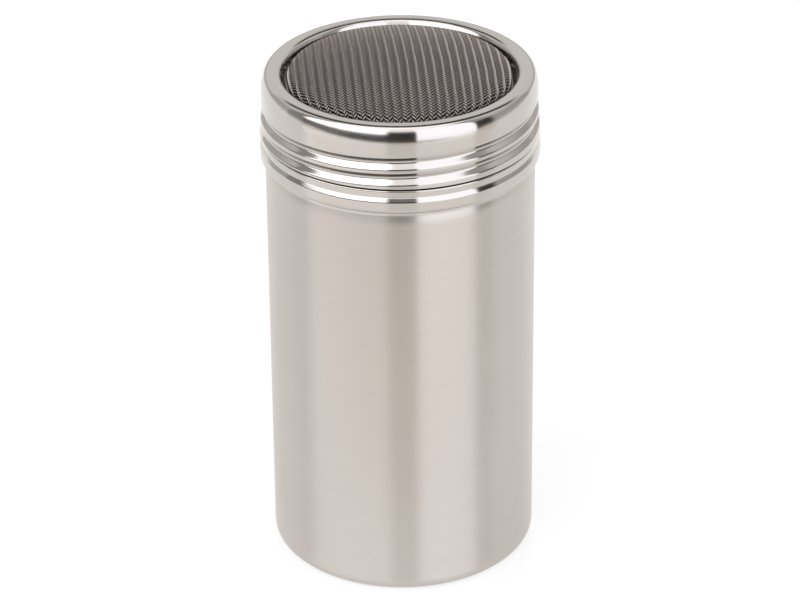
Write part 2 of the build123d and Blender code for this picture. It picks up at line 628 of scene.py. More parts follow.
@dataclass
class SpunSheet:
    """A piece of sheet metal that is spun or drawn round the Z axis.

    Attributes:
        name: the piece's name.
        bands: its outline, band after band, right round the sheet's section, each with its finish.
        start: angle of the first column, where the thread starts.
        closed: True if the outline ends where it starts, False if both its ends lie on the axis.
        columns: columns in a full turn.
    """

    name: str
    bands: Bands
    start: float
    closed: bool
    columns: int

    def build(self) -> bpy.types.Object:
        """Builds the mesh and dresses it.

        Returns:
            The finished object, at the origin.
        """
        finishes = list(dict.fromkeys(finish for _, finish in self.bands))
        slots = [finishes.index(finish) for band, finish in self.bands for _ in band.rows(0.0)]
        mesh = bmesh.new()
        grid: list[list[bmesh.types.BMVert]] = []
        for column in range(self.columns + 1):
            angle = TAU * column / self.columns
            cosine, sine = math.cos(self.start + angle), math.sin(self.start + angle)
            points = [point for band, _ in self.bands for point in band.rows(angle)]
            grid.append([mesh.verts.new((r * cosine, r * sine, z)) for r, z in points])
        rows = len(slots)
        for here, there in zip(grid, grid[1:]):
            for row in range(rows if self.closed else rows - 1):
                after = (row + 1) % rows
                face = mesh.faces.new((here[row], there[row], there[after], here[after]))
                face.material_index = slots[row]
                face.smooth = True
        bmesh.ops.remove_doubles(mesh, verts=mesh.verts, dist=MERGE_DISTANCE)
        bmesh.ops.dissolve_degenerate(mesh, dist=MERGE_DISTANCE, edges=mesh.edges)
        bmesh.ops.recalc_face_normals(mesh, faces=mesh.faces)
        data = bpy.data.meshes.new(self.name)
        mesh.to_mesh(data)
        mesh.free()
        for finish in finishes:
            data.materials.append(DRESSER.material(finish))
        return add_object(self.name, data)


# ---- Container ----


@dataclass
class Container:
    """The drawn can: base, wall, bead and threaded neck, all one sheet.

    Attributes:
        helix: the thread that it shares with the lid.
        radius: outside radius of the wall.
        sheet: thickness of the sheet.
        heel_round: round from the wall to the foot.
        foot_ring: width of the flat ring that it stands on.
        base_recess: how far the base lies above that ring.
        base_step: width of the slope from the ring up to the base.
        base_round: rounds at both ends of that slope.
        wall_height: height of the wall, up to the bead.
        waist_depth: how far the wall draws in under the bead.
        waist_height: height of the part that is drawn in all the way.
        waist_slope: height over which it draws in.
        waist_foot_round: round where it starts to draw in.
        waist_round: round where it has drawn in.
        bead_proud: how far the bead stands out of the wall.
        bead_underside: height of the slope under the bead.
        bead_height: height of the bead.
        bead_round: round at its lower edge.
        bead_fall: how far under its top its face starts to lean in.
        bead_fall_round: round there.
        bead_lean: how far it leans in.
        bead_brow: how far under the collar's foot it has leaned in.
        bead_brow_round: round there.
        bead_foot_round: round at the collar's foot.
        collar_inset: how far the collar lies inside the bead.
        collar_height: height of the collar.
        collar_round: rounds under the bead, at the collar's top and at the neck's foot.
        ledge_height: rise of the ledge from the collar to the neck.
        neck_inset: how far the neck lies inside the wall.
        crest_below: how far the thread's crest reaches under its helix.
        crest_above: how far it reaches above.
        crest_rounds: radii of the thread's corners, from its lower to its upper root.
        thread_delay: turns from the lid groove's start to the neck thread's.
        thread_turns: turns of the neck's thread.
        plain_neck: height of the plain neck under and over the thread.
        columns: columns of its mesh in a full turn.
    """

    helix: Helix
    radius: float = 33.3 * MM
    sheet: float = 0.5 * MM
    heel_round: float = 3.1 * MM
    foot_ring: float = 3.0 * MM
    base_recess: float = 1.6 * MM
    base_step: float = 2.2 * MM
    base_round: float = 0.9 * MM
    wall_height: float = 107.3 * MM
    waist_depth: float = 0.36 * MM
    waist_height: float = 0.8 * MM
    waist_slope: float = 1.6 * MM
    waist_foot_round: float = 9.0 * MM
    waist_round: float = 4.0 * MM
    bead_proud: float = 1.25 * MM
    bead_underside: float = 0.9 * MM
    bead_height: float = 4.1 * MM
    bead_round: float = 1.0 * MM
    bead_fall: float = 0.55 * MM
    bead_fall_round: float = 0.8 * MM
    bead_lean: float = 0.44 * MM
    bead_brow: float = 0.17 * MM
    bead_brow_round: float = 0.4 * MM
    bead_foot_round: float = 0.12 * MM
    collar_inset: float = 0.55 * MM
    collar_height: float = 1.75 * MM
    collar_round: float = 0.4 * MM
    ledge_height: float = 0.5 * MM
    neck_inset: float = 1.1 * MM
    crest_below: float = 0.383 * MM
    crest_above: float = 0.159 * MM
    crest_rounds: tuple[float, float, float, float] = (0.3 * MM, 0.15 * MM, 0.15 * MM, 0.3 * MM)
    thread_delay: float = 0.4
    thread_turns: float = 1.6
    plain_neck: float = 0.6 * MM
    columns: int = 240

    def build(self) -> bpy.types.Object:
        """Builds the can with its brushed outside, polished bead and neck, and drawn inside.

        Returns:
            The finished piece.
        """
        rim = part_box("container")[1].z
        neck = self.radius - self.neck_inset
        foot = self.radius - self.heel_round - self.foot_ring
        bead = self.radius + self.bead_proud
        waist = self.radius - self.waist_depth
        waist_foot = self.wall_height - self.waist_height
        bead_top = self.wall_height + self.bead_height
        collar = bead - self.collar_inset
        collar_foot = bead_top + self.collar_inset
        collar_top = collar_foot + self.collar_height
        ledge = collar_top + self.ledge_height
        outline = [
            (0.0, self.base_recess, 0.0),
            (foot - self.base_step, self.base_recess, self.base_round),
            (foot, 0.0, self.base_round),
            (self.radius, 0.0, self.heel_round),
            (self.radius, waist_foot - self.waist_slope, self.waist_foot_round),
            (waist, waist_foot, self.waist_round),
            (waist, self.wall_height, self.collar_round),
            (bead, self.wall_height + self.bead_underside, self.bead_round),
            (bead, bead_top - self.bead_fall, self.bead_fall_round),
            (bead - self.bead_lean, collar_foot - self.bead_brow, self.bead_brow_round),
            (collar, collar_foot, self.bead_foot_round),
            (collar, collar_top, self.collar_round),
            (neck, ledge, self.collar_round),
            (neck, rim, 0.0),
        ]
        corners = [(radius, height) for radius, height, _ in outline]
        radii = [bend for _, _, bend in outline[1:-1]]
        outside = rounded(corners, radii)
        inside = rounded(*inset(corners, radii, self.sheet))[::-1]
        band_foot, band_head = ledge + self.plain_neck, rim - self.plain_neck
        body_out = [p for p in outside if p[1] <= band_foot]
        body_in = [p for p in inside if p[1] <= band_foot]
        wall_end = next(i for i, p in enumerate(body_out) if p[1] > waist_foot)
        half = self.sheet / 2
        rolled_rim = arc((neck - half, rim - half), half, 0.0, math.pi, EDGE_STEPS)
        bands: Bands = [
            (PlainBand(body_out[:wall_end]), BRUSHED),
            (PlainBand(body_out[wall_end:]), POLISHED),
            (self._thread(neck, band_foot, band_head, True), POLISHED),
            (PlainBand(rolled_rim), POLISHED),
            (self._thread(neck - self.sheet, band_foot, band_head, False), DRAWN),
            (PlainBand(body_in), DRAWN),
        ]
        return SpunSheet("can", bands, self.helix.start, closed=False, columns=self.columns).build()

    def _thread(self, wall: float, foot: float, head: float, outside: bool) -> ThreadedBand:
        """One face of the neck's thread: the crest outside, or the hollow behind it inside.

        Args:
            wall: radius of this face of the plain neck.
            foot: lower edge of the threaded stretch.
            head: its upper edge.
            outside: True for the crest, False for the hollow.

        Returns:
            The band.
        """
        helix = self.helix
        below, above, depth = self.crest_below, self.crest_above, helix.depth
        if not outside:
            below += helix.depth * helix.upper_run - self.sheet / math.cos(helix.upper_flank)
            above += helix.depth * helix.lower_run - self.sheet / math.cos(helix.lower_flank)
            depth = self.sheet
        corners = (
            (-below - depth * helix.upper_run, 0.0),
            (-below, depth),
            (above, depth),
            (above + depth * helix.lower_run, 0.0),
        )
        turns = (self.thread_delay, self.thread_turns)
        form = RolledForm(helix, corners, self.crest_rounds, *turns, rise=-helix.pitch / 2)
        return ThreadedBand(form, lambda z: wall, foot, head, outside)


# ---- Lid ----


@dataclass
class Lid:
    """The pressed lid: a turned-down lip, a flat top, a rounded shoulder and a skirt with a rolled groove.

    Attributes:
        helix: the thread that it shares with the neck.
        radius: outside radius of the band above the groove.
        sheet: thickness of the sheet.
        flare: how much wider the skirt is at its edge.
        band_height: height of the plain band under the shoulder.
        shoulder_height: height of the shoulder.
        shoulder_inset: how far the shoulder comes in.
        shoulder_steps: spans along the shoulder.
        crease_steps: spans of it that the round to the flat top takes up.
        crease_round: radius of that round.
        hole_radius: radius of the hole that the lip goes round.
        lip_depth: how far the lip reaches down.
        lip_curl: (outwards from the hole, down from the top) of the lip's corners, from its wall to the top.
        lip_rounds: radii at those corners.
        groove: (height, depth) of the groove's lower root, floor and upper root, from its helix.
        groove_rounds: radii at those corners.
        columns: columns of its mesh in a full turn.
    """

    helix: Helix
    radius: float = 34.0 * MM
    sheet: float = 0.4 * MM
    flare: float = 0.5 * MM
    band_height: float = 3.0 * MM
    shoulder_height: float = 4.4 * MM
    shoulder_inset: float = 1.2 * MM
    shoulder_steps: int = 10
    crease_steps: int = 3
    crease_round: float = 1.6 * MM
    hole_radius: float = 28.7 * MM
    lip_depth: float = 3.2 * MM
    lip_curl: tuple[Point, Point, Point] = ((0.0, 1.3 * MM), (0.7 * MM, 0.15 * MM), (1.85 * MM, 0.0))
    lip_rounds: tuple[float, float, float] = (1.0 * MM, 1.2 * MM, 4.0 * MM)
    groove: tuple[Point, Point, Point, Point] = (
        (-1.5 * MM, 0.0),
        (-0.25 * MM, -1.05 * MM),
        (0.35 * MM, -0.88 * MM),
        (1.6 * MM, 0.0),
    )
    groove_rounds: tuple[float, float, float, float] = (0.7 * MM, 0.6 * MM, 0.6 * MM, 0.7 * MM)
    columns: int = 288

    def build(self) -> bpy.types.Object:
        """Builds the lid shell, polished outside and drawn inside.

        Returns:
            The finished piece.
        """
        low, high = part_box("lid_shell")
        top, edge = high.z, low.z
        shoulder = top - self.shoulder_height
        outer, inner = (self._skirt(edge, shoulder - self.band_height, depth) for depth in (0.0, self.sheet))
        half = self.sheet / 2
        foot = edge + half
        skirt_edge = (outer(foot) - half, foot)
        lip_edge = (self.hole_radius + half, top - self.lip_depth + half)
        bands: Bands = [
            (PlainBand(self._crown(top, 0.0)), POLISHED),
            (self._thread(outer, foot, shoulder, 0.0), POLISHED),
            (PlainBand(self._cut_edge(skirt_edge)), POLISHED),
            (self._thread(inner, foot, shoulder, self.sheet), DRAWN),
            (PlainBand(self._crown(top, self.sheet)[::-1]), DRAWN),
            (PlainBand(self._cut_edge(lip_edge)), POLISHED),
        ]
        return SpunSheet("lid", bands, self.helix.start, closed=True, columns=self.columns).build()

    def _skirt(self, edge: float, band: float, depth: float) -> Wall:
        """Radius of the skirt, which flares out from under its plain band to its edge, at a depth in it."""
        return lambda z: self.radius + self.flare * max(0.0, (band - z) / (band - edge)) - depth

    def _crown(self, top: float, depth: float) -> Outline:
        """Lip, flat top and shoulder.

        Args:
            top: height of the flat top.
            depth: how far inside the outer face, 0 for that face itself.

        Returns:
            (radius, height) pairs from the lip's edge to the shoulder's foot.
        """
        bend = (self.shoulder_inset**2 + self.shoulder_height**2) / (2 * self.shoulder_inset)
        centre = (self.radius - bend, top - self.shoulder_height)
        bend -= depth
        whole = math.asin((self.shoulder_height - depth) / bend)
        shoulder = arc(centre, bend, whole, 0.0, self.shoulder_steps)
        curl = [(self.hole_radius + out, top - down) for out, down in self.lip_curl]
        lip = [(self.hole_radius, top - self.lip_depth + self.sheet / 2), *curl, (self.radius, top)]
        moved, bends = inset(lip, self.lip_rounds, -depth)
        corners = [*moved[:-1], shoulder[0], shoulder[self.crease_steps]]
        crease = max(self.crease_round - depth, SMALLEST_BEND)
        return rounded(corners, [*bends, crease]) + shoulder[self.crease_steps + 1 :]

    def _cut_edge(self, centre: Point) -> Outline:
        """The round under a cut edge of the sheet, from the larger radius to the smaller."""
        return arc(centre, self.sheet / 2, 0.0, -math.pi, EDGE_STEPS)[1:-1]

    def _thread(self, wall: Wall, foot: float, head: float, behind: float) -> ThreadedBand:
        """One face of the skirt: the groove outside, or the ridge inside, a sheet's thickness behind it."""
        form = RolledForm(self.helix, self.groove, self.groove_rounds, 0.0, self.helix.turns, sheet=behind)
        return ThreadedBand(form, wall, foot, head, upwards=bool(behind))


# ---- Retaining ring ----


@dataclass
class RetainingRing:
    """The angle-section ring that holds the screen's brim up against the lip.

    Attributes:
        sheet: thickness of the sheet.
        bend_round: outside radius of its bend.
        hole_radius: radius of its hole.
        edge_round: rounds of its cut edges.
        columns: columns of its mesh in a full turn.
    """

    sheet: float = 0.5 * MM
    bend_round: float = 0.6 * MM
    hole_radius: float = 28.4 * MM
    edge_round: float = 0.2 * MM
    columns: int = 192

    def build(self) -> bpy.types.Object:
        """Builds the ring.

        Returns:
            The finished piece.
        """
        low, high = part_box("retaining_ring")
        outer, flange, cut = high.x, low.z + self.sheet, self.edge_round
        corners = [
            (self.hole_radius + self.sheet, flange),
            (self.hole_radius, flange),
            (self.hole_radius, low.z),
            (outer, low.z),
            (outer, high.z),
            (outer - self.sheet, high.z),
            (outer - self.sheet, flange),
            (self.hole_radius + self.sheet, flange),
        ]
        outline = rounded(corners, [cut, cut, self.bend_round, cut, cut, self.bend_round / 2])[:-1]
        bands: Bands = [(PlainBand(outline), DRAWN)]
        return SpunSheet("ring", bands, 0.0, closed=True, columns=self.columns).build()


# ---- Screen of woven wire ----


class Weave(Enum):
    """The two families of wires, each with its turn about the axis and its side at a crossing."""

    WARP = ("warp_wires", 49.1, 1.0)
    WEFT = ("weft_wires", -40.9, -1.0)


class ClothTree:
    """Geometry nodes that weave one family of 2/2 twill wires over a dome.

    Its inputs are the curve of the dome's profile and its length, the pitch, diameter, number and sides of
    the wires, the family's turn about the axis and its side at a crossing, and how far and over what length
    the wires sway.
    """

    INPUTS = {
        "Profile": "Object",
        "Reach": "Float",
        "Pitch": "Float",
        "Wire": "Float",
        "Wires": "Int",
        "Sides": "Int",
        "Turn": "Float",
        "Side": "Float",
        "Sway": "Float",
        "Sway Length": "Float",
    }

    def __init__(self) -> None:
        """Starts the tree with its inputs and its output."""
        self.tree = bpy.data.node_groups.new("twill_weave", "GeometryNodeTree")
        for name, kind in self.INPUTS.items():
            self.tree.interface.new_socket(name, in_out="INPUT", socket_type=f"NodeSocket{kind}")
        self.tree.interface.new_socket("Geometry", in_out="OUTPUT", socket_type="NodeSocketGeometry")
        self.given = add_node(self.tree, "NodeGroupInput")

    def build(self, material: bpy.types.Material) -> Tree:
        """Adds the nodes from the flat rows of stations to the dressed wires.

        Args:
            material: the wire's material.

        Returns:
            The finished node tree.
        """
        tree = self.tree
        station = add_node(tree, "GeometryNodeInputPosition")[0]
        x, y, _ = add_node(tree, SEPARATE, (self._pushed(station),))
        level = add_node(tree, COMBINE, (x, y))[0]
        distance = add_node(tree, VECTOR_MATH, (level,), operation="LENGTH")["Value"]
        crown = self._crown(station)
        marks = {"Geometry": self._disc(distance), "Name": CROWN, "Value": crown}
        marked = add_node(tree, "GeometryNodeStoreNamedAttribute", marks, data_type="FLOAT", domain="POINT")
        place = self._on_dome(x, y, distance, crown)
        laid = add_node(tree, "GeometryNodeSetPosition", {"Geometry": marked[0], "Position": place})
        real = add_node(tree, "GeometryNodeRealizeInstances", (self._wires(laid[0]),))
        dressed = add_node(tree, "GeometryNodeSetMaterial", {"Geometry": real[0], "Material": material})
        add_node(tree, "NodeGroupOutput", {"Geometry": dressed[0]})
        return tree

    def _disc(self, distance: Socket) -> Socket:
        """A flat disc of lines of stations, one line to a wire and two stations to each crossing.

        Args:
            distance: how far a station lies from the middle.

        Returns:
            The lines, as edges.
        """
        tree, given = self.tree, self.given
        doubled = add_node(tree, MATH, (given["Wires"], 2.0), operation="MULTIPLY")[0]
        stations = add_node(tree, MATH, (doubled, 1.0), operation="SUBTRACT")[0]
        gaps = add_node(tree, MATH, (given["Wires"], 1.0), operation="SUBTRACT")[0]
        span = add_node(tree, MATH, (gaps, given["Pitch"]), operation="MULTIPLY")[0]
        grid = add_node(tree, "GeometryNodeMeshGrid", (span, span, stations, given["Wires"]))["Mesh"]

        # The grid's edges from one line to the next go, and so do its faces.
        ends = add_node(tree, "GeometryNodeInputMeshEdgeVertices")
        first, second = (add_node(tree, SEPARATE, (ends[f"Position {end}"],))[1] for end in (1, 2))
        rise = add_node(tree, MATH, (first, second), operation="SUBTRACT")[0]
        apart = add_node(tree, MATH, (rise,), operation="ABSOLUTE")[0]
        half_pitch = add_node(tree, MATH, (given["Pitch"], 0.5), operation="MULTIPLY")[0]
        crosswise = add_node(tree, MATH, (apart, half_pitch), operation="GREATER_THAN")[0]
        rows = add_node(tree, DELETE, (grid, crosswise), domain="EDGE", mode="EDGE_FACE")[0]
        lines = add_node(tree, DELETE, (rows,), domain="FACE", mode="ONLY_FACE")[0]

        outside = add_node(tree, MATH, (distance, given["Reach"]), operation="GREATER_THAN")[0]
        return add_node(tree, DELETE, (lines, outside), domain="POINT", mode="ALL")[0]

    def _pushed(self, station: Socket) -> Socket:
        """Where handling has pushed a station, both families alike where they cross.

        Args:
            station: the station's place in the flat cloth.

        Returns:
            Its new place.
        """
        tree, given = self.tree, self.given
        scale = add_node(tree, MATH, (1.0, given["Sway Length"]), operation="DIVIDE")[0]
        back = add_node(tree, MATH, (given["Turn"], -1.0), operation="MULTIPLY")[0]
        turned = add_node(tree, ROTATE, {"Vector": station, "Angle": given["Turn"]}, rotation_type="Z_AXIS")
        drift = {"Vector": turned[0], "Scale": scale, "Detail": SWAY_DETAIL}
        noise = add_node(tree, NOISE, drift, normalize=False)["Color"]
        push = add_node(tree, ROTATE, {"Vector": noise, "Angle": back}, rotation_type="Z_AXIS")[0]
        shift = add_node(tree, VECTOR_MATH, {0: push, "Scale": given["Sway"]}, operation="SCALE")[0]
        return add_node(tree, VECTOR_MATH, (station, shift), operation="ADD")[0]

    def _crown(self, station: Socket) -> Socket:
        """How far a wire stands out: over two and under two, one step on from its neighbour.

        Args:
            station: the station's place in the flat cloth.

        Returns:
            The share, from -1 under the other family to 1 over it.
        """
        tree, given = self.tree, self.given
        x, y, _ = add_node(tree, SEPARATE, (station,))

        # A triangle wave over four crossings, cut flat where the wire has cleared the other family.
        across = add_node(tree, MATH, (y, given["Side"]), operation="MULTIPLY")[0]
        value = x
        for operation, *others in (
            ("SUBTRACT", across),
            ("DIVIDE", given["Pitch"]),
            ("SUBTRACT", 0.5),
            ("WRAP", 2.0, -2.0),
            ("ABSOLUTE",),
            ("MULTIPLY_ADD", -2.0, 2.0),
            ("MINIMUM", 1.0),
            ("MAXIMUM", -1.0),
            ("MULTIPLY", given["Side"]),
        ):
            value = add_node(tree, MATH, (value, *others), operation=operation)[0]
        return value

    def _on_dome(self, x: Socket, y: Socket, distance: Socket, crown: Socket) -> Socket:
        """Place of a station once the flat disc is laid on the dome, its rim along the profile.

        Args:
            x: the station's place along its wire.
            y: its place across the wires.
            distance: how far it lies from the middle.
            crown: how far it stands out of the cloth.

        Returns:
            Its place on the dome.
        """
        tree, given = self.tree, self.given
        shape = add_node(tree, "GeometryNodeObjectInfo", {"Object": given["Profile"]})["Geometry"]
        read = {"Curves": shape, "Length": distance}
        sample = add_node(tree, "GeometryNodeSampleCurve", read, mode="LENGTH", use_all_curves=True)
        spot = add_node(tree, SEPARATE, (sample["Position"],))
        along = add_node(tree, SEPARATE, (sample["Tangent"],))
        half_wire = add_node(tree, MATH, (given["Wire"], 0.5), operation="MULTIPLY")[0]
        lift = add_node(tree, MATH, (crown, half_wire), operation="MULTIPLY")[0]
        inwards = add_node(tree, MATH, (along[2], lift), operation="MULTIPLY")[0]
        radius = add_node(tree, MATH, (spot[0], inwards), operation="SUBTRACT")[0]
        height = add_node(tree, MATH, (along[0], lift, spot[2]), operation="MULTIPLY_ADD")[0]
        own_angle = add_node(tree, MATH, (y, x), operation="ARCTAN2")[0]
        angle = add_node(tree, MATH, (own_angle, given["Turn"]), operation="ADD")[0]
        ahead = add_node(tree, COMBINE, (radius, 0.0, height))[0]
        return add_node(tree, ROTATE, {"Vector": ahead, "Angle": angle}, rotation_type="Z_AXIS")[0]

    def _wires(self, lines: Socket) -> Socket:
        """Turns each line of stations into a round wire.

        Args:
            lines: the lines on the dome.

        Returns:
            The wires.
        """
        tree, given = self.tree, self.given
        curves = add_node(tree, "GeometryNodeMeshToCurve", (lines,))[0]
        half_wire = add_node(tree, MATH, (given["Wire"], 0.5), operation="MULTIPLY")[0]
        section = {"Resolution": given["Sides"], "Radius": half_wire}
        circle = add_node(tree, "GeometryNodeCurvePrimitiveCircle", section)[0]
        parts = {"Curve": curves, "Profile Curve": circle, "Fill Caps": True}
        wires = add_node(tree, "GeometryNodeCurveToMesh", parts)[0]
        return add_node(tree, "GeometryNodeSetShadeSmooth", {0: wires, "Shade Smooth": True})[0]


@dataclass
class Screen:
    """The domed screen: 2/2 twill of round wire, pressed over a dome with a flat brim.

    Attributes:
        pitch: distance from one wire to the next.
        wire: wire diameter.
        wire_sides: sides of a wire's section.
        sway: how far the wires are pushed out of line.
        sway_length: distance from one push to the next.
        dome_radius: radius of the dome's outside.
        skirt_radius: radius of the wall under the dome.
        corner_round: round between the dome and that wall.
        brim_round: round between the wall and the brim.
        cap_steps: spans of the profile along the dome.
        corner_steps: spans along the round at its edge.
    """

    pitch: float = 0.76 * MM
    wire: float = 0.28 * MM
    wire_sides: int = 6
    sway: float = 0.16 * MM
    sway_length: float = 7.0 * MM
    dome_radius: float = 94.0 * MM
    skirt_radius: float = 27.7 * MM
    corner_round: float = 2.2 * MM
    brim_round: float = 0.7 * MM
    cap_steps: int = 48
    corner_steps: int = 8

    def build(self) -> list[bpy.types.Object]:
        """Weaves both families of wires.

        Returns:
            The warp and the weft, one piece each.
        """
        profile = self._profile_curve()
        made = [self._family(family, profile) for family in Weave]
        bpy.data.objects.remove(profile)
        return made

    def _profile(self) -> Outline:
        """Middle of the cloth from the dome's top to the brim's edge.

        Returns:
            (radius, height) pairs.
        """
        low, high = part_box("screen")
        reach = self.dome_radius - self.wire
        centre = (0.0, high.z - self.dome_radius)
        skirt = self.skirt_radius - self.wire
        brim = low.z + self.wire
        bend = self.corner_round - self.wire
        slope = math.acos((skirt - bend) / (reach - bend))
        dome = arc(centre, reach, math.pi / 2, slope, self.cap_steps)
        hub = (skirt - bend, centre[1] + (reach - bend) * math.sin(slope))
        corner = arc(hub, bend, slope, 0.0, self.corner_steps)[1:]
        edge = (high.x - self.wire / 2, brim)
        return dome + corner + rounded([(skirt, hub[1]), (skirt, brim), edge], [self.brim_round])[1:]

    def _profile_curve(self) -> bpy.types.Object:
        """The profile as a curve for the weave to read.

        Returns:
            The curve's object.
        """
        data = bpy.data.curves.new("cloth_profile", "CURVE")
        data.dimensions = "3D"
        points = self._profile()
        spline = data.splines.new("POLY")
        spline.points.add(len(points) - 1)
        for point, (radius, height) in zip(spline.points, points):
            point.co = (radius, 0.0, height, 1.0)
        return add_object("cloth_profile", data)

    def _family(self, family: Weave, profile: bpy.types.Object) -> bpy.types.Object:
        """One family of wires as a plain mesh.

        Args:
            family: warp or weft.
            profile: the curve that the cloth follows.

        Returns:
            The finished piece.
        """
        name, turn, side = family.value
        points = self._profile()
        reach = sum(math.dist(a, b) for a, b in zip(points, points[1:]))
        values: dict[str, Any] = {
            "Profile": profile,
            "Reach": reach,
            "Pitch": self.pitch,
            "Wire": self.wire,
            "Wires": 2 * math.ceil(reach / self.pitch) + 1,
            "Sides": self.wire_sides,
            "Turn": math.radians(turn),
            "Side": side,
            "Sway": self.sway,
            "Sway Length": self.sway_length,
        }
        tree = ClothTree().build(DRESSER.material(WIRE))
        holder = add_object(name, bpy.data.meshes.new(name))
        modifier = holder.modifiers.new("weave", "NODES")
        modifier.node_group = tree
        for item in tree.interface.items_tree:
            if item.item_type == "SOCKET" and item.in_out == "INPUT":
                modifier[item.identifier] = values[item.name]
        graph = bpy.context.evaluated_depsgraph_get()
        data = bpy.data.meshes.new_from_object(holder.evaluated_get(graph))
        holder.modifiers.clear()
        holder.data = data
        return holder


# ---- Studio ----


@dataclass(frozen=True)
class SoftBox:
    """A soft light in the studio, as a patch of the surroundings. All angles are in degrees.

    Attributes:
        azimuth: its middle, from the front towards +X.
        half_width: half its width.
        low: elevation of its lower edge.
        high: elevation of its upper edge, 90 for a light that has none.
        strength: its brightness.
        edge: width of its soft edge.
        tint: sRGB hex colour.
        behind: how far it reaches past the zenith, measured from the front; 180 for all the way.
    """

    azimuth: float
    half_width: float
    low: float
    high: float
    strength: float
    edge: float = 4.0
    tint: str = "ffffff"
    behind: float = HALF_TURN


